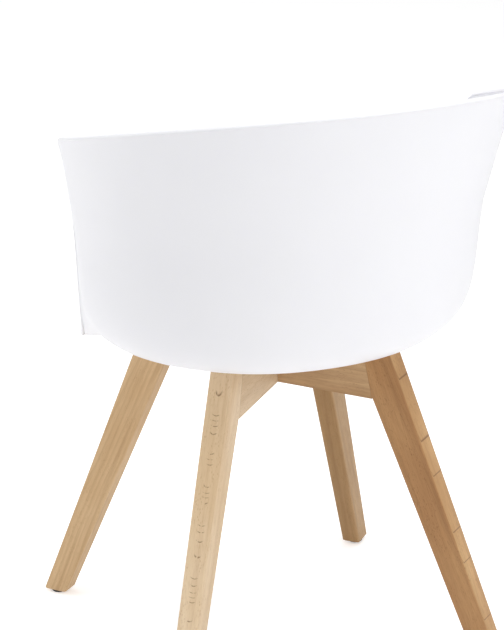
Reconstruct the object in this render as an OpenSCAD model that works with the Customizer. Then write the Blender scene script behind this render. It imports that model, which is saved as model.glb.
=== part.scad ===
// Dining chair: a moulded tub seat with low arms, bolted to two crossed beech beams
// that carry four splayed, tapered legs.
// +Z is up, the sitter faces -Y, and the origin is on the floor at the middle of the
// whole chair's outline. All sizes are in millimetres.

/* [Seat shell] */
// Outside width of the tub at its rim
seat_w = 584; // [480:1:710]
// From the tub's centre back to the outside of the back rim
back_r = 251; // [200:1:310]
// From the tub's centre forward to where its side walls would meet
fore_r = 173; // [140:1:220]
// From the tub's centre forward to the outline that holds the seat's front lip
lip_r = 350; // [280:1:420]
// Half width of the outline that holds the seat's front lip
lip_half_w = 308; // [240:1:350]
// Distance of the tub's centre behind the crossing of the beams
tub_set_back = 37; // [0:1:60]
// Height of the rim at the middle of the back
back_h = 802; // [700:1:970]
// Height of the arms' front corners
arm_h = 723; // [620:1:760]
// Height of the seat's underside
under_h = 446; // [410:1:480]
// Rise of the front lip's edge above the seat's underside before it dips
lip_rise = 8; // [4:1:25]
// How far the seat's front lip bends down
lip_dip = 38; // [20:1:50]
// Wall thickness
shell_t = 5; // [3:0.5:8]
// Radius of the rounded bead along the rim
bead_r = 4; // [3:0.5:6]
// How far the back wall leans out from seat to rim
lean_back = 53; // [20:1:70]
// How far the wall leans out beside the arms' front corners
lean_front = 12; // [0:1:40]
// How much the rim draws in towards the arms' front corners
tuck = 0.05; // [0:0.01:0.15]
// Radius of the arms' front corners
arm_corner_r = 14; // [6:1:25]
// Side and height of the screw bosses under the seat
boss_d = 24; // [18:1:34]
// Height of the screw bosses below the seat's underside, where the frame leaves room
boss_h = 8; // [6:1:14]

/* [Frame] */
// Angle between each front leg and the fore-and-aft line, seen from above
leg_angle = 42.4; // [38:0.1:50]
// From the crossing of the beams to the outer edge of each foot
foot_reach = 346.5; // [290:0.5:400]
// Lean of the legs' outer edges from upright
leg_lean = 21.7; // [12:0.1:26]
// Width of a leg at its foot
foot_w = 33.5; // [26:0.5:42]
// Width of a leg where it meets the underside of its beam
leg_w = 49; // [42:0.5:62]
// Thickness of a leg at its foot
foot_t = 26; // [20:0.5:34]
// Thickness of the beams and of the legs' tops
frame_t = 29.5; // [24:0.5:36]
// Height of the beams' undersides
beam_z = 375; // [330:1:400]
// Height of a beam
beam_h = 60; // [48:1:66]
// How far the front legs' tops stand above the beams
front_leg_rise = 5; // [0:0.5:6]
// How far the rear legs' tops stand above the beams
rear_leg_rise = 8; // [0:0.5:9]
// Lean of the glued seam between beam and leg from upright
seam_lean = 12; // [0:1:18]
// Clearance all round the half lap
lap_clear = 0.2; // [0.1:0.05:0.5]
// Chamfer round the bottom of a foot
foot_chamfer = 3; // [1:0.5:5]

/* [Dowels] */
// Diameter of the glued dowels
dowel_d = 8; // [6:1:10]
// Length of the dowels
dowel_l = 38; // [30:1:44]
// Distance between the two dowels of a joint
dowel_pitch = 26; // [18:1:32]
// Clearance between a dowel and its hole, on the radius
dowel_clear = 0.1; // [0.05:0.05:0.3]

/* [Seat bolts] */
// Distance of each seat bolt in from the top of the glued seam
bolt_inset = 35.5; // [32:0.5:50]
// Thread diameter of the seat bolts
bolt_d = 6; // [5:1:8]
// Length of the bolts under the head
bolt_l = 50; // [45:1:60]
// Diameter of the bolt heads
bolt_head_d = 11; // [9:0.5:14]
// Height of the bolt heads
bolt_head_h = 4; // [3:0.5:6]
// Clearance round the bolts in the beams, on the radius
bolt_clear = 0.4; // [0.2:0.1:0.8]
// Outside diameter of the flat washers
washer_d = 14; // [12:0.5:18]
// Thickness of the flat washers
washer_t = 1.6; // [1:0.1:2.5]
// Thickness of the spring washers
spring_washer_t = 1.6; // [1:0.1:2.5]
// Thickness of the rubber pads between the beams and the seat
pad_t = 3; // [2:0.5:5]
// Diameter of the rubber pads
pad_d = 24; // [18:1:28]
// Length of the brass inserts in the seat's bosses
insert_l = 10; // [8:0.5:12]
// Outside diameter of the brass inserts
insert_d = 9; // [8:0.5:12]

/* [Feet] */
// Diameter of the plastic glides
glide_d = 20; // [15:1:24]
// Thickness of the glides
glide_t = 3; // [2:0.5:6]
// Diameter of the nails that hold the glides
nail_d = 2.4; // [1.8:0.1:3.5]
// Length of the nails
nail_l = 18; // [14:1:25]
// Diameter of the nail heads
nail_head_d = 6; // [5:0.5:9]
// Thickness of the nail heads
nail_head_t = 1; // [0.6:0.1:1.5]
// Clearance round the nail in its glide, on the radius
nail_clear = 0.1; // [0.05:0.05:0.3]

/* [Hidden] */
$fn = 48;

// Colours
white_plastic = "#f4f4f6";
beech = "#d3ab7c";
pale_beech = "#e0c29a";
zinc = "#b9bcc0";
brass = "#b99a4b";
black_rubber = "#262626";

// Directions of the four legs, counted from +X: front left, rear left, rear right, front right
leg_dirs = [leg_angle - 90, 90 - leg_angle, 90 + leg_angle, 270 - leg_angle];

// The leg's edges in its own upright plane: distance from the crossing at a given height
outer_slope = tan(leg_lean);
function leg_outer(z) = foot_reach - outer_slope * z;
joint_inner = leg_outer(beam_z) - leg_w;
frame_top = beam_z + beam_h;
function seam_at(z) = joint_inner - tan(seam_lean) * (z - beam_z);
bolt_reach = seam_at(frame_top) - bolt_inset;
foot_mid = leg_outer(glide_t) - foot_w / 2;

// ---- Seat surface ----------------------------------------------------------------
// a is the angle round the tub from the back (0) to the front (180), and q climbs one
// wall from the middle of the seat (0) to the full, untrimmed height (90).
plan_n = 2.08;        // roundness of the tub's plan
lip_n = 3.2;          // roundness of the lip's plan
floor_n = 9;          // flatness of the seat's floor
wall_n = 6.4;         // uprightness of the wall
lean_n = 2.9;         // how quickly the wall's lean fades below the rim
rim_fall = 1.25;      // shape of the rim's fall from back to arm
arm_a = 98.5;         // where the arm's front corner is
lip_a = 138;          // where the arm's front edge has come down to the lip
edge_n = 2.44;        // how steeply the arm's front edge starts
lip_start_a = 96;     // where the plan starts to turn from tub to lip
lip_full_a = 136;     // where the plan is all lip
dip_start_a = 94;     // where the dip of the lip starts
dip_full_a = 130;     // where the lip has its full dip
dip_reach = 0.87;     // how far out along the floor the dip is measured

function smooth(x) = let(c = max(0, min(1, x))) c * c * (3 - 2 * c);
function plan_r(a, w, l, n) = pow(pow(abs(sin(a)) / w, n) + pow(abs(cos(a)) / l, n), -1 / n);
function tub_r(a) = plan_r(a, seat_w / 2, cos(a) > 0 ? back_r : fore_r, plan_n)
                    * (1 - tuck * smooth((a - 60) / 60));
function outline_r(a) = let(w = smooth((a - lip_start_a) / (lip_full_a - lip_start_a)))
    tub_r(a) * (1 - w) + plan_r(a, lip_half_w, lip_r, lip_n) * w;
function full_h(a) = arm_h + (back_h - arm_h) * cos(90 * pow(min(a / arm_a, 1), rim_fall));
function lean(a) = lean_back + (lean_front - lean_back) * smooth((a - 50) / 70);
// Outer surface, for a on either side of the chair, with the tub's centre on the origin
function skin(side, a, q) =
    let(c = pow(cos(q), 2 / floor_n), s = pow(sin(q), 2 / wall_n),
        r = (outline_r(a) - lean(a) * (1 - pow(1 - c, lean_n))) * s,
        h = full_h(a) - (full_h(a) - under_h) * c
            - lip_dip * smooth((a - dip_start_a) / (dip_full_a - dip_start_a)) * pow(s / dip_reach, 5))
    [side * r * sin(a), r * cos(a), h];
// How far up the wall a trimmed height lies
function climb(a, h) = acos(pow(min(1, max(0, (full_h(a) - h) / (full_h(a) - under_h))), floor_n / 2));

step_a = 0.2;         // spacing of the neighbours used to find a direction, in degrees
step_q = 0.2;
function unit(v) = v / norm(v);
function up_wall(side, a, q) = unit(skin(side, a, min(q, 89.9)) - skin(side, a, min(q, 89.9) - step_q));
function round_wall(side, a, q) = unit(skin(side, a + step_a, q) - skin(side, max(a - step_a, 0), q));
function outward(side, a, q) = q < 1 ? [0, 0, -1] : side * unit(cross(up_wall(side, a, q), round_wall(side, a, q)));

// The rim as [angle, height] from the back round to the middle of the front
back_steps = 20;
corner_steps = 4;
edge_steps = 14;
front_steps = 7;
corner_turn = arm_corner_r / (tub_r(arm_a) * PI / 180);
corner_tau = 1 - sqrt(1 - arm_corner_r / (arm_h - under_h - lip_rise));
edge_foot_h = under_h + lip_rise;
function edge_pt(t) = [arm_a + (lip_a - arm_a) * pow(t, edge_n),
                       edge_foot_h + (arm_h - edge_foot_h) * (1 - t) * (1 - t)];
function bend(p, m, e, t) = p * (1 - t) * (1 - t) + m * 2 * t * (1 - t) + e * t * t;
top_end = [arm_a - corner_turn, full_h(arm_a - corner_turn)];
half_rim = concat(
    [for (i = [0 : back_steps]) let(a = top_end[0] * i / back_steps) [a, full_h(a)]],
    [for (i = [1 : corner_steps]) bend(top_end, [arm_a, arm_h], edge_pt(corner_tau), i / corner_steps)],
    [for (i = [1 : edge_steps]) edge_pt(corner_tau + (1 - corner_tau) * i / edge_steps)],
    [for (i = [1 : front_steps]) [lip_a + (180 - lip_a) * i / front_steps, edge_foot_h]]);
last = len(half_rim) - 1;
// All stations round the tub: left side from back to front, then right side from front to back
stations = concat([for (p = half_rim) [1, p[0], p[1]]],
                  [for (i = [last - 1 : -1 : 1]) [-1, half_rim[i][0], half_rim[i][1]]]);

// Where a station's wall ends and its bead begins
function brim(st) = skin(st[0], st[1], climb(st[1], st[2] - bead_r));

// One section through the wall, from the middle of the seat out over the rim and back in
wall_rows = 15;
bead_rows = 6;
function rows_up(q) = [for (i = [1 : wall_rows]) q * pow(i / wall_rows, 0.8)];
function section(before, i) =
    let(st = stations[i], side = st[0], a = st[1], q = climb(a, st[2] - bead_r), rows = rows_up(q),
        along = brim(stations[(i + 1) % len(stations)]) - brim(stations[before]),
        out = outward(side, a, q), off_edge = unit(cross(along, out)),
        mid = skin(side, a, q) - out * shell_t / 2)
    concat([for (r = rows) skin(side, a, r)],
           [for (k = [0 : bead_rows]) let(f = 180 * k / bead_rows)
               mid + bead_r * (cos(f) * out + sin(f) * off_edge)],
           [for (k = [wall_rows - 1 : -1 : 0]) skin(side, a, rows[k]) - shell_t * outward(side, a, rows[k])]);
// ------------------------------------------------------------------------------------

// Fore-and-aft extents, used to stand the chair's outline on the origin
back_extent = tub_set_back + max([for (p = section(len(stations) - 1, 0)) p.y]);
foot_extent = leg_outer(glide_t + foot_chamfer) * cos(leg_angle) + foot_t / 2 * sin(leg_angle);
frame_y = (foot_extent - back_extent) / 2;

// Places its children at each seat bolt, on the beams
module at_seat_bolts() {
    for (d = leg_dirs) translate([0, frame_y, 0]) rotate(d) translate([bolt_reach, 0, 0]) children();
}

// Places its children in the plane of one leg, with +X outward along its beam
module in_leg_plane(dir) {
    translate([0, frame_y, 0]) rotate(dir) children();
}

module ring(d_out, d_in, h) {
    difference() {
        cylinder(d = d_out, h = h);
        translate([0, 0, -1]) cylinder(d = d_in, h = h + 2);
    }
}

pad_z = frame_top;
boss_z = pad_z + pad_t;
boss_top = max(under_h, boss_z + boss_h) + shell_t / 2;
insert_bore_d = insert_d + 2 * dowel_clear;
bolt_bore_d = bolt_d + 2 * bolt_clear;
stack_t = washer_t + spring_washer_t;
head_z = boss_z + insert_l - bolt_l;
pocket_top = head_z + stack_t;
pocket_d = washer_d + 4;

module seat_shell() {
    count = len(stations);
    rings = [for (i = [0 : count - 1]) section((i + count - 1) % count, i)];
    rows = len(rings[0]);
    under = skin(1, 0, 0);
    points = concat([under, under + [0, 0, shell_t]], [for (r = rings) each r]);
    function at(i, j) = 2 + (i % count) * rows + j;
    faces = concat(
        [for (i = [0 : count - 1]) [0, at(i + 1, 0), at(i, 0)]],
        [for (i = [0 : count - 1]) [1, at(i, rows - 1), at(i + 1, rows - 1)]],
        [for (i = [0 : count - 1], j = [0 : rows - 2]) each
            [[at(i, j), at(i + 1, j + 1), at(i, j + 1)], [at(i, j), at(i + 1, j), at(i + 1, j + 1)]]]);
    color(white_plastic) difference() {
        union() {
            translate([0, frame_y + tub_set_back, 0]) polyhedron(points, faces);
            at_seat_bolts() translate([0, 0, boss_z]) cylinder(d = boss_d, h = boss_top - boss_z);
        }
        at_seat_bolts() translate([0, 0, boss_z - 1]) cylinder(d = insert_bore_d, h = insert_l + 2);
    }
}

module threaded_inserts() {
    color(brass) at_seat_bolts() translate([0, 0, boss_z]) ring(insert_d, bolt_d + 0.2, insert_l);
}

module rubber_pads() {
    color(black_rubber) at_seat_bolts() translate([0, 0, pad_z]) ring(pad_d, bolt_bore_d, pad_t);
}

// Holes for one joint's two dowels, from the seam outward or inward
module dowel_pair(d, l) {
    for (side = [-1, 1]) {
        z = beam_z + beam_h / 2 + side * dowel_pitch / 2;
        translate([seam_at(z) - l / 2, 0, z]) rotate([0, 90, 0]) cylinder(d = d, h = l);
    }
}

module beam(notch_top, dir, other_dir) {
    outline = [[-seam_at(beam_z), beam_z], [seam_at(beam_z), beam_z],
               [seam_at(frame_top), frame_top], [-seam_at(frame_top), frame_top]];
    notch_w = frame_t + 2 * lap_clear;
    notch_h = beam_h / 2 + lap_clear;
    in_leg_plane(dir) difference() {
        rotate([90, 0, 0]) linear_extrude(frame_t, center = true) polygon(outline);
        rotate(other_dir - dir) translate([-frame_t * 2, -notch_w / 2, notch_top ? frame_top - notch_h : beam_z - 1])
            cube([frame_t * 4, notch_w, notch_h + 1]);
        for (turn = [0, 180]) rotate(turn) {
            dowel_pair(dowel_d + 2 * dowel_clear, dowel_l + 1);
            translate([bolt_reach, 0, beam_z - 1]) cylinder(d = bolt_bore_d, h = beam_h + 2);
            translate([bolt_reach, 0, beam_z - 1]) cylinder(d = pocket_d, h = pocket_top - beam_z + 1);
        }
    }
}

module upper_beam() {
    color(beech) beam(false, leg_dirs[1], leg_dirs[0]);
}

module lower_beam() {
    color(beech) beam(true, leg_dirs[0], leg_dirs[1]);
}

module leg(dir, rise) {
    c = foot_chamfer;
    z0 = glide_t;
    top = frame_top + rise;
    side_view = [[foot_inner(z0) + c, z0], [leg_outer(z0) - c, z0], [leg_outer(z0 + c), z0 + c],
                 [leg_outer(top), top], [seam_at(top), top],
                 [joint_inner, beam_z], [foot_inner(z0 + c), z0 + c]];
    edge_view = [for (s = [1, -1]) each s > 0
        ? [[foot_t / 2 - c, z0], [foot_t / 2, z0 + c], [frame_t / 2, beam_z], [frame_t / 2, top]]
        : [[-frame_t / 2, top], [-frame_t / 2, beam_z], [-foot_t / 2, z0 + c], [-foot_t / 2 + c, z0]]];
    in_leg_plane(dir) difference() {
        intersection() {
            rotate([90, 0, 0]) linear_extrude(2 * frame_t, center = true) polygon(side_view);
            rotate([90, 0, 90]) linear_extrude(foot_reach + frame_t) polygon(edge_view);
        }
        dowel_pair(dowel_d + 2 * dowel_clear, dowel_l + 1);
        translate([foot_mid, 0, z0 - 1]) cylinder(d = nail_d, h = nail_l + 1, $fn = 24);
    }
}

// The leg's inner edge, straight from the foot up to the underside of its beam
function foot_inner(z) = let(low = leg_outer(glide_t) - foot_w)
    low + (joint_inner - low) * (z - glide_t) / (beam_z - glide_t);

module front_left_leg() {
    color(beech) leg(leg_dirs[0], front_leg_rise);
}

module rear_left_leg() {
    color(pale_beech) leg(leg_dirs[1], rear_leg_rise);
}

module rear_right_leg() {
    color(beech) leg(leg_dirs[2], rear_leg_rise);
}

module front_right_leg() {
    color(pale_beech) leg(leg_dirs[3], front_leg_rise);
}

module leg_dowels() {
    color(pale_beech) for (d = leg_dirs) in_leg_plane(d) dowel_pair(dowel_d, dowel_l);
}

module seat_bolts() {
    socket_d = bolt_head_d / 2.2;
    color(zinc) at_seat_bolts() translate([0, 0, head_z]) {
        cylinder(d = bolt_d, h = bolt_l, $fn = 32);
        translate([0, 0, -bolt_head_h]) difference() {
            cylinder(d = bolt_head_d, h = bolt_head_h);
            translate([0, 0, -1]) cylinder(d = socket_d, h = bolt_head_h * 0.6 + 1, $fn = 6);
        }
    }
}

module spring_washers() {
    gap = 0.8;
    color(zinc) at_seat_bolts() translate([0, 0, head_z]) difference() {
        ring(bolt_head_d, bolt_d + bolt_clear, spring_washer_t);
        translate([0, -gap / 2, -1]) cube([bolt_head_d, gap, spring_washer_t + 2]);
    }
}

module flat_washers() {
    color(zinc) at_seat_bolts() translate([0, 0, head_z + spring_washer_t])
        ring(washer_d, bolt_d + bolt_clear, washer_t);
}

nail_head_z = 0.4;    // the nail's head stays this far above the floor

module glide(dir) {
    edge = 0.8;
    nail_hole = nail_d + 2 * nail_clear;
    recess = nail_head_d + 2 * nail_clear;
    color(black_rubber) in_leg_plane(dir) translate([foot_mid, 0, 0]) difference() {
        union() {
            cylinder(d1 = glide_d - 2 * edge, d2 = glide_d, h = edge);
            translate([0, 0, edge]) cylinder(d = glide_d, h = glide_t - edge);
        }
        translate([0, 0, -1]) cylinder(d = nail_hole, h = glide_t + 2, $fn = 24);
        translate([0, 0, -1]) cylinder(d = recess, h = nail_head_z + nail_head_t + 1);
    }
}

module front_left_glide() {
    glide(leg_dirs[0]);
}

module rear_left_glide() {
    glide(leg_dirs[1]);
}

module rear_right_glide() {
    glide(leg_dirs[2]);
}

module front_right_glide() {
    glide(leg_dirs[3]);
}

module glide_nails() {
    color(zinc) for (d = leg_dirs) in_leg_plane(d) translate([foot_mid, 0, nail_head_z]) {
        cylinder(d = nail_head_d, h = nail_head_t);
        cylinder(d = nail_d, h = nail_l - 2, $fn = 24);
        translate([0, 0, nail_l - 2]) cylinder(d1 = nail_d, d2 = 0.4, h = 2, $fn = 24);
    }
}

seat_shell();
threaded_inserts();
rubber_pads();
upper_beam();
lower_beam();
front_left_leg();
front_right_leg();
rear_left_leg();
rear_right_leg();
leg_dowels();
seat_bolts();
flat_washers();
spring_washers();
front_left_glide();
front_right_glide();
rear_left_glide();
rear_right_glide();
glide_nails();
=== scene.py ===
"""Dining chair: a moulded white tub seat on a crossed beech frame with four splayed legs."""
import math
import bmesh
import bpy
import numpy as np
from mathutils import Matrix, Vector


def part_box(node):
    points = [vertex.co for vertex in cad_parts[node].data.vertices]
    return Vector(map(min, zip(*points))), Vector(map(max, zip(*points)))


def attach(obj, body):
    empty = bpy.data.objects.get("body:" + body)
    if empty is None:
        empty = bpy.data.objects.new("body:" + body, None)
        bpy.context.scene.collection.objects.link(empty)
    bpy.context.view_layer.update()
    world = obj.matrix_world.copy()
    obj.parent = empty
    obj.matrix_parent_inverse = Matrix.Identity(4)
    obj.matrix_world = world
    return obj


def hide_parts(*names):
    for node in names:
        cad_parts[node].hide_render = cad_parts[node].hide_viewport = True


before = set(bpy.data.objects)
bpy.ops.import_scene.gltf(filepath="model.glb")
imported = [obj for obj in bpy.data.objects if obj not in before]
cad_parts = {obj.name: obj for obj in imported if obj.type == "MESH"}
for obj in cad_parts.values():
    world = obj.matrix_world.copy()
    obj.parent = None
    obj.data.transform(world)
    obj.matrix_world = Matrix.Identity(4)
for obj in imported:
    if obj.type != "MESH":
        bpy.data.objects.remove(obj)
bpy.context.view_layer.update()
scene = bpy.context.scene
MM = 0.001
DEG = math.pi / 180

# ---- Sizes of the CAD model, in millimetres ------------------------------------------
# All are the part's own values but the bead's, which is 0.1 mm slimmer so that this finer
# mesh stays in the CAD's box.
SEAT_W, BACK_R, FORE_R = 584.0, 251.0, 173.0
LIP_R, LIP_HALF_W, TUB_SET_BACK = 350.0, 308.0, 37.0
BACK_H, ARM_H, UNDER_H = 802.0, 723.0, 446.0
LIP_RISE, LIP_DIP, SHELL_T, BEAD_R = 8.0, 38.0, 5.0, 3.9
LEAN_BACK, LEAN_FRONT, TUCK, ARM_CORNER_R = 53.0, 12.0, 0.05, 14.0
PLAN_N, LIP_N, FLOOR_N, WALL_N, LEAN_N = 2.08, 3.2, 9.0, 6.4, 2.9
RIM_FALL, ARM_A, LIP_A, EDGE_N = 1.25, 98.5, 138.0, 2.44
LIP_START_A, LIP_FULL_A = 96.0, 136.0
DIP_START_A, DIP_FULL_A, DIP_REACH = 94.0, 130.0, 0.87
LEG_ANGLE, FOOT_REACH, LEG_LEAN = 42.4, 346.5, 21.7
FOOT_W, LEG_W, FOOT_T, FRAME_T = 33.5, 49.0, 26.0, 29.5
BEAM_Z, BEAM_H, SEAM_LEAN, FOOT_CHAMFER, GLIDE_T = 375.0, 60.0, 12.0, 3.0, 3.0
BOSS_D, BOSS_Z, BOLT_REACH = 24.0, 438.0, 100.02
STEP_A, STEP_Q = 0.2, 0.2      # neighbours used to find a direction on the tub
FRONT_LEG_RISE, REAR_LEG_RISE = 5.0, 8.0
FRAME_TOP = BEAM_Z + BEAM_H
LEG_DIRS = {"front_left": LEG_ANGLE - 90, "rear_left": 90 - LEG_ANGLE,
            "rear_right": 90 + LEG_ANGLE, "front_right": 270 - LEG_ANGLE}
# the crossing of the beams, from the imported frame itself
lo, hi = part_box("upper_beam")
FRAME_Y = (lo.y + hi.y) / 2 / MM


# ---- Small helpers --------------------------------------------------------------------
def new_object(name, bm_or_mesh, slot, smooth=True):
    """A mesh object that notes the name of its record slot."""
    if isinstance(bm_or_mesh, bmesh.types.BMesh):
        mesh = bpy.data.meshes.new(name)
        bm_or_mesh.to_mesh(mesh)
        bm_or_mesh.free()
    else:
        mesh = bm_or_mesh
    for p in mesh.polygons:
        p.use_smooth = smooth
    obj = bpy.data.objects.new(name, mesh)
    scene.collection.objects.link(obj)
    obj["slot_name"] = slot
    return obj


def settle(obj, *replaced):
    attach(obj, "root")
    if replaced:
        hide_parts(*replaced)
    del obj["slot_name"]


# ---- Seat shell -----------------------------------------------------------------------
def smooth_step(x):
    c = np.clip(x, 0, 1)
    return c * c * (3 - 2 * c)


def plan_r(a, w, l, n):
    return ((np.abs(np.sin(a * DEG)) / w) ** n + (np.abs(np.cos(a * DEG)) / l) ** n) ** (-1 / n)


def tub_r(a):
    length = np.where(np.cos(a * DEG) > 0, BACK_R, FORE_R)
    return plan_r(a, SEAT_W / 2, length, PLAN_N) * (1 - TUCK * smooth_step((a - 60) / 60))


def outline_r(a):
    w = smooth_step((a - LIP_START_A) / (LIP_FULL_A - LIP_START_A))
    return tub_r(a) * (1 - w) + plan_r(a, LIP_HALF_W, LIP_R, LIP_N) * w


def full_h(a):
    return ARM_H + (BACK_H - ARM_H) * np.cos(90 * DEG * np.minimum(a / ARM_A, 1) ** RIM_FALL)


def skin(side, a, q):
    """Outer surface of the seat at angle a round the tub and climb q up its wall."""
    c = np.abs(np.cos(q * DEG)) ** (2 / FLOOR_N)
    s = np.abs(np.sin(q * DEG)) ** (2 / WALL_N)
    lean = LEAN_BACK + (LEAN_FRONT - LEAN_BACK) * smooth_step((a - 50) / 70)
    r = (outline_r(a) - lean * (1 - (1 - c) ** LEAN_N)) * s
    dip = LIP_DIP * smooth_step((a - DIP_START_A) / (DIP_FULL_A - DIP_START_A)) * (s / DIP_REACH) ** 5
    h = full_h(a) - (full_h(a) - UNDER_H) * c - dip
    return np.stack([side * r * np.sin(a * DEG), r * np.cos(a * DEG), h], -1)


def climb(a, h):
    """How far up the wall a height lies, the reverse of skin's q."""
    f = np.clip((full_h(a) - h) / (full_h(a) - UNDER_H), 0, 1)
    return np.arccos(f ** (FLOOR_N / 2)) / DEG


def unit(v):
    return v / np.linalg.norm(v, axis=-1, keepdims=True)


def outward(side, a, q):
    """Unit vector out of the outer surface."""
    q = np.maximum(q, 1.0)
    up = skin(side, a, np.minimum(q, 89.9)) - skin(side, a, np.minimum(q, 89.9) - STEP_Q)
    along = skin(side, a + STEP_A, q) - skin(side, np.maximum(a - STEP_A, 0), q)
    return unit(np.cross(unit(up), unit(along))) * np.asarray(side)[..., None]


def half_rim(back, corner, edge, front):
    """(angle, height) of the rim from the middle of the back to the middle of the front."""
    foot_h = UNDER_H + LIP_RISE

    def edge_pt(t):
        return np.stack([ARM_A + (LIP_A - ARM_A) * t ** EDGE_N, foot_h + (ARM_H - foot_h) * (1 - t) ** 2],
                        -1)

    turn = ARM_CORNER_R / (float(tub_r(np.array(ARM_A))) * DEG)
    tau = 1 - math.sqrt(1 - ARM_CORNER_R / (ARM_H - foot_h))
    a0 = ARM_A - turn
    start = np.array([a0, float(full_h(np.array(a0)))])
    knee, end = np.array([ARM_A, ARM_H]), edge_pt(np.array(tau))
    pts = []
    for i in range(back + 1):
        a = a0 * i / back
        pts.append([a, float(full_h(np.array(a)))])
    for i in range(1, corner + 1):
        t = i / corner
        pts.append(list(start * (1 - t) ** 2 + knee * 2 * t * (1 - t) + end * t * t))
    for i in range(1, edge + 1):
        pts.append(list(edge_pt(np.array(tau + (1 - tau) * i / edge))))
    for i in range(1, front + 1):
        pts.append([LIP_A + (180 - LIP_A) * i / front, foot_h])
    return np.array(pts)


def make_shell():
    """The tub as one closed skin: out from the middle of the seat, over the bead and back in."""
    half = half_rim(back=72, corner=12, edge=48, front=24)
    ring = np.vstack([half, half[-2:0:-1]])
    side = np.concatenate([np.ones(len(half)), -np.ones(len(half) - 2)])
    a, h = ring[:, 0], ring[:, 1]
    n = len(a)
    q = climb(a, h - BEAD_R)
    brim = skin(side, a, q)
    out = outward(side, a, q)
    along = np.roll(brim, -1, 0) - np.roll(brim, 1, 0)
    off = unit(np.cross(along, out))
    mid = brim - out * SHELL_T / 2
    rows = 44
    climbs = [q * ((i + 1) / rows) ** 0.8 for i in range(rows)]
    rings = [skin(side, a, k) for k in climbs]
    # the rolled bead, with a small fillet under it on either side
    step = BEAD_R - SHELL_T / 2
    rings[-1] = brim - off * step * 0.9
    rings.append(brim - off * step * 0.3 + out * step * 0.12)
    rings.append(brim + out * step * 0.55)
    turns = 14
    for i in range(turns + 1):
        f = math.pi * i / turns
        rings.append(mid + BEAD_R * (math.cos(f) * out + math.sin(f) * off))
    inner = brim - SHELL_T * out
    rings.append(inner - out * step * 0.55)
    rings.append(inner - off * step * 0.3 - out * step * 0.12)
    rings.append(inner - off * step * 0.9)
    rings += [skin(side, a, k) - SHELL_T * outward(side, a, k) for k in climbs[-2::-1]]
    pts = np.array(rings).transpose(1, 0, 2)
    m = pts.shape[1]
    under = skin(1.0, np.array(0.0), np.array(0.0))
    verts = np.vstack([[under], [under + [0, 0, SHELL_T]], pts.reshape(-1, 3)])
    verts = (verts + [0, FRAME_Y + TUB_SET_BACK, 0]) * MM

    def at(i, j):
        return 2 + (i % n) * m + j
    faces = []
    for i in range(n):
        faces.append((0, at(i, 0), at(i + 1, 0)))
        faces.append((1, at(i + 1, m - 1), at(i, m - 1)))
        for j in range(m - 1):
            faces.append((at(i, j), at(i, j + 1), at(i + 1, j + 1), at(i + 1, j)))
    mesh = bpy.data.meshes.new("seat_tub")
    mesh.from_pydata(verts.tolist(), [], faces)
    mesh.update()
    return new_object("seat_tub", mesh, "shell_plastic")


def lathe(name, profile, slot, segments=48):
    """A turned piece about +Z from (radius, height) points in millimetres, closed on itself."""
    bm = bmesh.new()
    loops = []
    for k in range(segments):
        x, y = (f(2 * math.pi * k / segments) * MM for f in (math.cos, math.sin))
        loops.append([bm.verts.new((r * x, r * y, z * MM)) for r, z in profile])
    count = len(profile)
    for k in range(segments):
        here, there = loops[k], loops[(k + 1) % segments]
        for j in range(count):
            after = (j + 1) % count
            bm.faces.new((here[j], there[j], there[after], here[after]))
    bmesh.ops.recalc_face_normals(bm, faces=bm.faces)
    return new_object(name, bm, slot)


# ---- Legs -----------------------------------------------------------------------------
def leg_outer(z):
    return FOOT_REACH - math.tan(LEG_LEAN * DEG) * z


JOINT_INNER = leg_outer(BEAM_Z) - LEG_W


def foot_inner(z):
    low = leg_outer(GLIDE_T) - FOOT_W
    return low + (JOINT_INNER - low) * (z - GLIDE_T) / (BEAM_Z - GLIDE_T)


def seam_at(z):
    return JOINT_INNER - math.tan(SEAM_LEAN * DEG) * (z - BEAM_Z)


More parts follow.
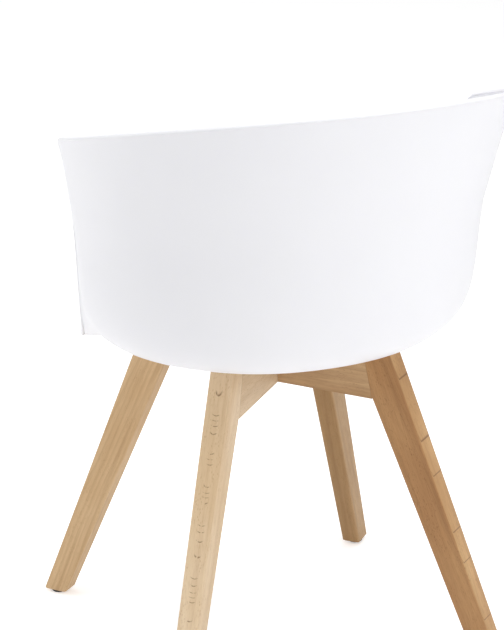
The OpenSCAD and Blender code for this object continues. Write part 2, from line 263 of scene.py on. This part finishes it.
def make_leg(corner):
    """One tapered leg with rounded edges, and the matrix from the chair's axes to its own.

    In its own frame +Z runs up the grain and +X points outward.
    """
    c, z0 = FOOT_CHAMFER, GLIDE_T
    half_low = FOOT_T / 2
    half_top = FRAME_T / 2
    crown = FRAME_TOP + (FRONT_LEG_RISE if corner.startswith("front") else REAR_LEG_RISE)
    levels = [(z0, foot_inner(z0) + c, leg_outer(z0) - c, half_low - c),
              (z0 + c, foot_inner(z0 + c), leg_outer(z0 + c), half_low),
              (BEAM_Z, JOINT_INNER, leg_outer(BEAM_Z), half_top),
              (crown, seam_at(crown), leg_outer(crown), half_top)]
    foot = Vector(((levels[0][1] + levels[0][2]) / 2, 0, z0))
    top = Vector(((levels[2][1] + levels[2][2]) / 2, 0, BEAM_Z))
    up = (top - foot).normalized()
    place = Matrix(((up.z, 0, up.x, foot.x), (0, 1, 0, 0), (-up.x, 0, up.z, foot.z), (0, 0, 0, 1)))
    back = place.inverted()
    bm = bmesh.new()
    rings = []
    for z, inner, outer, half in levels:
        ring = [(outer, half), (outer, -half), (inner, -half), (inner, half)]
        rings.append([bm.verts.new((back @ Vector((u, v, z))) * MM) for u, v in ring])
    for a, b in zip(rings, rings[1:]):
        for k in range(4):
            bm.faces.new((a[k], a[(k + 1) % 4], b[(k + 1) % 4], b[k]))
    bm.faces.new(rings[0])
    bm.faces.new(rings[-1])
    bmesh.ops.recalc_face_normals(bm, faces=bm.faces)

    def edges(pairs):
        return [e for e in bm.edges if any(set(e.verts) == set(p) for p in pairs)]
    long_edges = edges([(rings[1][k], rings[2][k]) for k in range(4)]
                       + [(rings[2][k], rings[3][k]) for k in (0, 1)])
    bmesh.ops.bevel(bm, geom=long_edges, offset=2.8 * MM, segments=6, profile=0.5, affect="EDGES",
                    clamp_overlap=True)
    sharp = [e for e in bm.edges if len(e.link_faces) == 2 and e.calc_face_angle() > 0.5]
    bmesh.ops.bevel(bm, geom=sharp, offset=0.5 * MM, segments=2, profile=0.5, affect="EDGES",
                    clamp_overlap=True)
    turn = Matrix.Translation((0, FRAME_Y * MM, 0)) @ Matrix.Rotation(LEG_DIRS[corner] * DEG, 4, "Z")
    place.translation = place.translation * MM
    bm.transform(turn @ place)
    return new_object(corner + "_leg_wood", bm, "beech"), (turn @ place).inverted()


# ---- Materials ------------------------------------------------------------------------
class Nodes:
    """Short names for building one node tree."""

    def __init__(self, name):
        self.mat = bpy.data.materials.new(name)
        self.mat.use_nodes = True
        self.tree = self.mat.node_tree
        self.bsdf = self.tree.nodes["Principled BSDF"]

    def add(self, kind, **values):
        node = self.tree.nodes.new(kind)
        for key, value in values.items():
            setattr(node, key, value)
        return node

    def link(self, source, target):
        self.tree.links.new(source, target)

    def put(self, socket, value):
        if hasattr(value, "links"):
            self.link(value, socket)
        else:
            socket.default_value = value

    def coords(self, rotation=(0, 0, 0), scale=(1, 1, 1), location=(0, 0, 0), source=None):
        """Object coordinates, turned, scaled and moved."""
        if source is None:
            source = self.add("ShaderNodeTexCoord").outputs["Object"]
        m = self.add("ShaderNodeMapping")
        self.link(source, m.inputs["Vector"])
        m.inputs["Rotation"].default_value = rotation
        m.inputs["Scale"].default_value = scale
        m.inputs["Location"].default_value = location
        return m.outputs["Vector"]

    def noise(self, vector, scale=5.0, detail=4.0, rough=0.5, distortion=0.0):
        t = self.add("ShaderNodeTexNoise")
        self.link(vector, t.inputs["Vector"])
        t.inputs["Scale"].default_value = scale
        t.inputs["Detail"].default_value = detail
        t.inputs["Roughness"].default_value = rough
        t.inputs["Distortion"].default_value = distortion
        return t.outputs["Fac"]

    def math(self, op, a, b=0.0, c=0.0, clamp=False):
        t = self.add("ShaderNodeMath", operation=op, use_clamp=clamp)
        for socket, value in zip(t.inputs, (a, b, c)):
            self.put(socket, value)
        return t.outputs[0]

    def band(self, value, low, high, to_low=0.0, to_high=1.0):
        t = self.add("ShaderNodeMapRange", interpolation_type="SMOOTHSTEP")
        self.put(t.inputs["Value"], value)
        t.inputs["From Min"].default_value = low
        t.inputs["From Max"].default_value = high
        t.inputs["To Min"].default_value = to_low
        t.inputs["To Max"].default_value = to_high
        return t.outputs["Result"]

    def mix(self, factor, a, b, blend="MIX"):
        t = self.add("ShaderNodeMix", data_type="RGBA", blend_type=blend)
        self.put(t.inputs["Factor"], factor)
        self.put(t.inputs["A"], a)
        self.put(t.inputs["B"], b)
        return t.outputs["Result"]

    def bump(self, height, strength, distance, normal=None):
        t = self.add("ShaderNodeBump")
        t.inputs["Strength"].default_value = strength
        t.inputs["Distance"].default_value = distance
        self.link(height, t.inputs["Height"])
        if normal is not None:
            self.link(normal, t.inputs["Normal"])
        return t.outputs["Normal"]


def colour(r, g, b):
    """A colour given as display values from 0 to 255."""
    def lin(v):
        v /= 255
        return v / 12.92 if v <= 0.04045 else ((v + 0.055) / 1.055) ** 2.4
    return (lin(r), lin(g), lin(b), 1)


def shade(tint, factor):
    """The same tint, darker or lighter."""
    return tuple(c * factor for c in tint[:3]) + (1,)


def white_plastic():
    n = Nodes("moulded_white_plastic")
    p = n.coords()
    cloud = n.noise(p, scale=7, detail=2)
    fine = n.noise(p, scale=900, detail=3, rough=0.6)
    base = n.mix(cloud, colour(239, 239, 243), colour(244, 244, 247))
    n.link(base, n.bsdf.inputs["Base Color"])
    n.link(n.band(n.noise(p, scale=60, detail=3), 0.3, 0.7, 0.36, 0.46), n.bsdf.inputs["Roughness"])
    n.bsdf.inputs["IOR"].default_value = 1.48
    n.bsdf.inputs["Subsurface Weight"].default_value = 0.12
    n.bsdf.inputs["Subsurface Radius"].default_value = (0.004, 0.004, 0.0045)
    n.bsdf.inputs["Subsurface Scale"].default_value = 1.0
    n.link(n.bump(fine, 0.10, 0.0001), n.bsdf.inputs["Normal"])
    return n.mat


def beam_grain(angle):
    """From the chair's axes to a beam's: +Z along its grain, +X up."""
    along = Matrix.Translation((0, FRAME_Y * MM, BEAM_Z * MM)) @ Matrix.Rotation(angle * DEG, 4, "Z")
    return (along @ Matrix(((0, 0, 1, 0), (0, 1, 0, 0), (-1, 0, 0, 0), (0, 0, 0, 1)))).inverted()


def beech(name, light, dark, line, seed, grain, rings=(0.05, 0.03, 0.02), ring_gap=0.006,
          ring_depth=0.25, fleck_depth=0.45, arcs=None, cathedral=None, streak=0.35, fibre_depth=0.5,
          faces=()):
    """Oiled beech. grain takes the chair's axes to the piece's own, where the grain runs along +Z.

    rings is where the pith lies and how far it leans. arcs and cathedral draw the curved
    growth lines of a flat-sawn face. faces lists (direction in plan, tint) for sides whose
    colour is multiplied by the tint as painted light and shade, lighter or darker by the way they face.
    """
    n = Nodes(name)
    p = n.coords(rotation=grain.to_euler("XYZ"), location=grain.translation + Vector((0, 0, seed)))
    # slow bend of the grain
    wander = n.noise(n.coords(scale=(9, 9, 3.2), source=p), scale=1, detail=2)
    sep = n.add("ShaderNodeSeparateXYZ")
    n.link(p, sep.inputs[0])
    x, y, z = sep.outputs
    bend = n.math("MULTIPLY", n.math("SUBTRACT", wander, 0.5), 0.022)
    # growth rings about a pith outside the piece
    cx, cy, lean = rings
    dx = n.math("ADD", n.math("ADD", x, cx), n.math("ADD", n.math("MULTIPLY", z, lean), bend))
    dy = n.math("ADD", n.math("ADD", y, cy), bend)
    dist = n.math("SQRT", n.math("ADD", n.math("MULTIPLY", dx, dx), n.math("MULTIPLY", dy, dy)))
    uneven = n.noise(n.coords(scale=(60, 60, 2), source=p), scale=1, detail=2)
    phase = n.math("ADD", n.math("DIVIDE", dist, ring_gap), n.math("MULTIPLY", uneven, 1.4))
    saw = n.math("FRACT", phase)
    ring = n.math("MULTIPLY", n.band(saw, 0.25, 0.94), n.band(saw, 0.94, 1.0, 1.0, 0.0))
    # fibres and soft streaks along the grain
    fibre = n.noise(n.coords(scale=(800, 800, 70), source=p), scale=1, detail=3, rough=0.65)
    streaks = n.noise(n.coords(scale=(130, 130, 4.0), source=p), scale=1, detail=4, rough=0.6)
    cloud = n.noise(n.coords(scale=(22, 22, 6), source=p), scale=1, detail=3)
    # short dark ray flecks
    vor = n.add("ShaderNodeTexVoronoi", feature="F1")
    n.link(n.coords(scale=(560, 560, 170), source=p), vor.inputs["Vector"])
    vor.inputs["Scale"].default_value = 1.0
    vor.inputs["Randomness"].default_value = 1.0
    fleck = n.band(vor.outputs["Distance"], 0.16, 0.34, 1.0, 0.0)
    patchy = n.band(n.noise(n.coords(scale=(90, 90, 30), source=p), scale=1, detail=2), 0.38, 0.66)
    fleck = n.math("MULTIPLY", fleck, patchy)

    base = n.mix(n.band(cloud, 0.3, 0.7), light, dark)
    base = n.mix(n.math("MULTIPLY", n.band(streaks, 0.42, 0.72), streak), base, line)
    base = n.mix(n.math("MULTIPLY", ring, ring_depth), base, line)
    base = n.mix(n.math("MULTIPLY", n.band(fibre, 0.45, 0.75), fibre_depth * 0.5), base, line)
    base = n.mix(n.math("MULTIPLY", fleck, fleck_depth), base, line)
    # painted light and shade: a side whose normal points along the given plan direction is lightened or
    # darkened by its tint
    for angle, tint in faces:
        dot = n.add("ShaderNodeVectorMath", operation="DOT_PRODUCT")
        n.link(n.add("ShaderNodeTexCoord").outputs["Normal"], dot.inputs[0])
        dot.inputs[1].default_value = (math.cos(angle * DEG), math.sin(angle * DEG), 0)
        base = n.mix(n.band(dot.outputs["Value"], 0.55, 0.85), base, n.mix(1.0, base, tint, "MULTIPLY"))
    height = n.math("SUBTRACT", n.math("MULTIPLY", fibre, 0.5), n.math("MULTIPLY", fleck, 0.6))
    for spec in (arcs, cathedral):
        if not spec:
            continue
        across = {"x": x, "y": y}[spec["across"]]
        side = n.math("SUBTRACT", across, spec["centre"])
        wob = n.noise(n.coords(scale=spec["wobble_scale"], source=p), scale=1, detail=2)
        side = n.math("ADD", side, n.math("MULTIPLY", n.math("SUBTRACT", wob, 0.5), spec["wobble"]))
        curve = n.math("POWER", n.math("ABSOLUTE", side), spec["power"])
        t = n.math("ADD", n.math("DIVIDE", z, spec["gap"]), n.math("MULTIPLY", curve, spec["curve"]))
        jitter = n.noise(n.coords(scale=(0.01, 0.01, spec["jitter_scale"]), source=p), scale=1, detail=1)
        t = n.math("ADD", t, n.math("MULTIPLY", jitter, spec["jitter"]))
        f = n.math("FRACT", t)
        w = spec["width"]
        drawn = n.math("MULTIPLY", n.band(f, 0.0, w * 0.35), n.band(f, w * 0.35, w, 1.0, 0.0))
        near = n.band(n.math("ABSOLUTE", side), spec["reach"] * 0.45, spec["reach"], 1.0, 0.0)
        drawn = n.math("MULTIPLY", drawn, near)
        if spec.get("face"):
            axis, limit, soft = spec["face"]
            drawn = n.math("MULTIPLY", drawn, n.band({"x": x, "y": y}[axis], limit, limit + soft))
        broken = n.noise(n.coords(scale=spec["broken"], source=p), scale=1, detail=2)
        drawn = n.math("MULTIPLY", drawn, n.band(broken, *spec["broken_band"]))
        base = n.mix(n.math("MULTIPLY", drawn, spec["depth"]), base, spec["colour"])
        height = n.math("SUBTRACT", height, n.math("MULTIPLY", drawn, 0.3))
    n.link(base, n.bsdf.inputs["Base Color"])
    n.link(n.band(fibre, 0.2, 0.8, 0.42, 0.58), n.bsdf.inputs["Roughness"])
    n.bsdf.inputs["IOR"].default_value = 1.45
    n.bsdf.inputs["Specular IOR Level"].default_value = 0.4
    n.link(n.bump(height, 0.35, 0.00025), n.bsdf.inputs["Normal"])
    return n.mat


def metal(name, tint, rough):
    n = Nodes(name)
    p = n.coords()
    grain = n.noise(p, scale=1400, detail=3, rough=0.7)
    stain = n.noise(p, scale=160, detail=3)
    n.link(n.mix(n.band(stain, 0.35, 0.7), tint, shade(tint, 0.8)), n.bsdf.inputs["Base Color"])
    n.link(n.band(grain, 0.2, 0.8, rough - 0.08, rough + 0.1), n.bsdf.inputs["Roughness"])
    n.bsdf.inputs["Metallic"].default_value = 1.0
    n.link(n.bump(grain, 0.15, 0.00005), n.bsdf.inputs["Normal"])
    return n.mat


def dark_plastic(name, tint, rough):
    n = Nodes(name)
    p = n.coords()
    grain = n.noise(p, scale=1800, detail=3, rough=0.7)
    dust = n.noise(p, scale=220, detail=4)
    n.link(n.mix(n.band(dust, 0.5, 0.8, 0.0, 0.5), tint, shade(tint, 2.2)), n.bsdf.inputs["Base Color"])
    n.link(n.band(grain, 0.2, 0.8, rough - 0.08, rough + 0.1), n.bsdf.inputs["Roughness"])
    n.link(n.bump(grain, 0.3, 0.00012), n.bsdf.inputs["Normal"])
    return n.mat


def paint(obj, mat):
    obj.data.materials.clear()
    obj.data.materials.append(mat)


def paint_node(name, mat):
    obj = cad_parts[name]
    if not obj.material_slots:
        obj.data.materials.append(mat)
    for s in obj.material_slots:
        s.material = mat


# ---- Build ----------------------------------------------------------------------------
plastic = white_plastic()
tub = make_shell()
paint(tub, plastic)
settle(tub, "seat_shell")

# a screw boss under the seat over each arm of the beams, turned as (radius, height) in mm
BOSS_R = BOSS_D / 2
BOSS_PROFILE = [(4.7, 0.4), (5.0, 0), (BOSS_R - 0.6, 0), (BOSS_R, 0.6), (BOSS_R + 0.4, 6.0),
                (BOSS_R + 2.2, 9.0), (BOSS_R + 2.2, 10.5), (4.7, 10.5)]
for corner, angle in LEG_DIRS.items():
    boss = lathe(corner + "_seat_boss", BOSS_PROFILE, "shell_plastic")
    boss.matrix_world = (Matrix.Translation((0, FRAME_Y * MM, 0)) @ Matrix.Rotation(angle * DEG, 4, "Z")
                         @ Matrix.Translation((BOLT_REACH * MM, 0, BOSS_Z * MM)))
    paint(boss, plastic)
    settle(boss)

tan_a = dict(light=colour(214, 182, 140), dark=colour(205, 170, 126), line=colour(172, 134, 90))
# the smile-shaped growth lines down one face, and the long arches of a flat-sawn face
smiles = dict(across="y", centre=0.001, power=1.6, curve=-900.0, gap=0.0135, jitter=6.0, jitter_scale=24.0,
              wobble=0.006, wobble_scale=(0.01, 0.01, 9.0), width=0.2, reach=0.0056, depth=0.8,
              colour=colour(124, 86, 55), face=("x", 0.006, 0.004),
              broken=(300, 300, 120), broken_band=(0.36, 0.5))
arches = dict(across="x", centre=0.009, power=1.25, curve=520.0, gap=0.085, jitter=2.0, jitter_scale=5.0,
              wobble=0.008, wobble_scale=(0.01, 0.01, 9.0), width=0.05, reach=0.04, depth=0.75,
              colour=colour(112, 72, 42), face=None,
              broken=(40, 40, 8), broken_band=(0.28, 0.45))
# the faces entries are painted light and shade: the outward sides of the rear legs are painted lighter, the
# inward side of the front right leg darker
looks = {
    "front_left": dict(seed=0.3, rings=(0.11, 0.02, 0.02), ring_gap=0.007, ring_depth=0.25,
                       streak=0.4, fleck_depth=0.4, **tan_a),
    "rear_left": dict(seed=1.1, rings=(0.09, 0.03, 0.01), ring_gap=0.012, ring_depth=0.1,
                      streak=0.2, fleck_depth=0.5, arcs=smiles,
                      light=colour(226, 203, 171), dark=colour(217, 190, 153), line=colour(172, 132, 90),
                      faces=((LEG_DIRS["rear_left"], (1.10, 1.10, 1.10, 1)),)),
    "front_right": dict(seed=2.3, rings=(0.06, 0.08, 0.03), ring_gap=0.009, ring_depth=0.2,
                        streak=0.3, fleck_depth=0.4,
                        light=colour(186, 151, 108), dark=colour(173, 138, 95), line=colour(138, 102, 64),
                        faces=((LEG_DIRS["front_right"] + 180, (0.88, 0.84, 0.76, 1)),)),
    "rear_right": dict(seed=3.7, rings=(0.10, 0.05, 0.02), ring_gap=0.014, ring_depth=0.1,
                       streak=0.25, fleck_depth=0.55, cathedral=arches,
                       light=colour(190, 146, 98), dark=colour(174, 128, 82), line=colour(128, 86, 52),
                       faces=((LEG_DIRS["rear_right"], (1.22, 1.36, 1.5, 1)),)),
}
for corner in LEG_DIRS:
    leg, grain = make_leg(corner)
    paint(leg, beech("beech_" + corner, grain=grain, **looks[corner]))
    settle(leg, corner + "_leg")

upper_look = dict(seed=0.7, rings=(0.03, 0.02, 0.05), ring_gap=0.02, ring_depth=0.08, streak=0.3,
                  fleck_depth=0.55,
                  light=colour(216, 191, 158), dark=colour(205, 178, 142), line=colour(160, 124, 86))
lower_look = dict(seed=1.9, rings=(0.03, 0.015, 0.06), ring_gap=0.016, ring_depth=0.22, streak=0.4,
                  fleck_depth=0.55,
                  light=colour(203, 168, 126), dark=colour(188, 151, 109), line=colour(138, 100, 66))
for beam, corner, look in (("upper_beam", "rear_left", upper_look), ("lower_beam", "rear_right", lower_look)):
    paint_node(beam, beech("beech_" + beam, grain=beam_grain(LEG_DIRS[corner]), **look))
paint_node("leg_dowels", beech("beech_dowels", seed=4.1, grain=beam_grain(0), **tan_a))
zinc = metal("zinc_plated_steel", colour(186, 190, 196), 0.34)
for name in ("seat_bolts", "flat_washers", "spring_washers", "glide_nails"):
    paint_node(name, zinc)
paint_node("threaded_inserts", metal("turned_brass", colour(206, 172, 102), 0.3))
paint_node("rubber_pads", dark_plastic("black_rubber", colour(42, 42, 43), 0.75))
glide_black = dark_plastic("black_glide_plastic", colour(46, 44, 43), 0.5)
for corner in LEG_DIRS:
    paint_node(corner + "_glide", glide_black)

# worn, slightly eased edges on the sawn and turned CAD pieces
for name, width in (("upper_beam", 0.8), ("lower_beam", 0.8), ("seat_bolts", 0.25), ("flat_washers", 0.15),
                    ("spring_washers", 0.15), ("rubber_pads", 0.3)):
    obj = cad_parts[name]
    ease = obj.modifiers.new("eased_edges", "BEVEL")
    ease.width = width * MM
    ease.segments = 2
    ease.limit_method = "ANGLE"
    ease.angle_limit = 50 * DEG

# ---- Stage, light and camera ----------------------------------------------------------
bm = bmesh.new()
bmesh.ops.create_grid(bm, x_segments=1, y_segments=1, size=7)
floor = new_object("floor", bm, "floor")
del floor["slot_name"]
f = Nodes("pale_floor")
f.link(f.mix(f.noise(f.coords(), scale=2), (0.89, 0.89, 0.89, 1), (0.91, 0.91, 0.91, 1)),
       f.bsdf.inputs["Base Color"])
f.bsdf.inputs["Roughness"].default_value = 0.9
f.bsdf.inputs["Specular IOR Level"].default_value = 0.1
f.bsdf.inputs["Emission Color"].default_value = (1, 1, 1, 1)
# the paper shows white all over, and sends a softer light back up to the chair
seen_directly = f.add("ShaderNodeLightPath").outputs["Is Camera Ray"]
f.link(f.math("MULTIPLY_ADD", seen_directly, 0.22, 0.24), f.bsdf.inputs["Emission Strength"])
paint(floor, f.mat)

world = bpy.data.worlds.new("studio")
scene.world = world
world.use_nodes = True
wt = world.node_tree
back = wt.nodes["Background"]
back.inputs["Color"].default_value = (1.0, 1.0, 1.0, 1)
back.inputs["Strength"].default_value = 0.47
seen = wt.nodes.new("ShaderNodeBackground")
seen.inputs["Color"].default_value = (1, 1, 1, 1)
seen.inputs["Strength"].default_value = 1.2
path = wt.nodes.new("ShaderNodeLightPath")
both = wt.nodes.new("ShaderNodeMixShader")
wt.links.new(path.outputs["Is Camera Ray"], both.inputs[0])
wt.links.new(back.outputs[0], both.inputs[1])
wt.links.new(seen.outputs[0], both.inputs[2])
wt.links.new(both.outputs[0], wt.nodes["World Output"].inputs[0])


def soft_light(name, place, size, power, target=(0, 0, 0.55), tint=(1, 1, 1)):
    lamp = bpy.data.lights.new(name, "AREA")
    lamp.shape = "RECTANGLE"
    lamp.size, lamp.size_y = size
    lamp.energy = power
    lamp.color = tint
    obj = bpy.data.objects.new(name, lamp)
    obj.location = place
    obj.rotation_euler = (Vector(target) - Vector(place)).to_track_quat("-Z", "Y").to_euler()
    scene.collection.objects.link(obj)


# camera-right, camera-left and overhead boxes
soft_light("right_box", (-1.9, 2.7, 1.5), (1.4, 2.2), 28)
soft_light("left_box", (2.8, -0.8, 1.4), (1.4, 2.2), 19)
soft_light("top_box", (-0.2, 0.4, 2.8), (2.0, 2.0), 34)
soft_light("front_box", (1.0, -3.0, 1.6), (1.6, 1.6), 14)

cam = bpy.data.cameras.new("camera")
cam.sensor_width = 36
cam.lens = 158.67
cam.shift_x = -0.0528
cam.clip_end = 50
eye = bpy.data.objects.new("camera", cam)
eye.location = (1.1958, 3.0993 + FRAME_Y * MM, 1.6936)
eye.rotation_euler = ((90 - 20.394) * DEG, 0, 158.6 * DEG)
scene.collection.objects.link(eye)
scene.camera = eye
scene.view_settings.view_transform = "Standard"

bpy.context.view_layer.update()
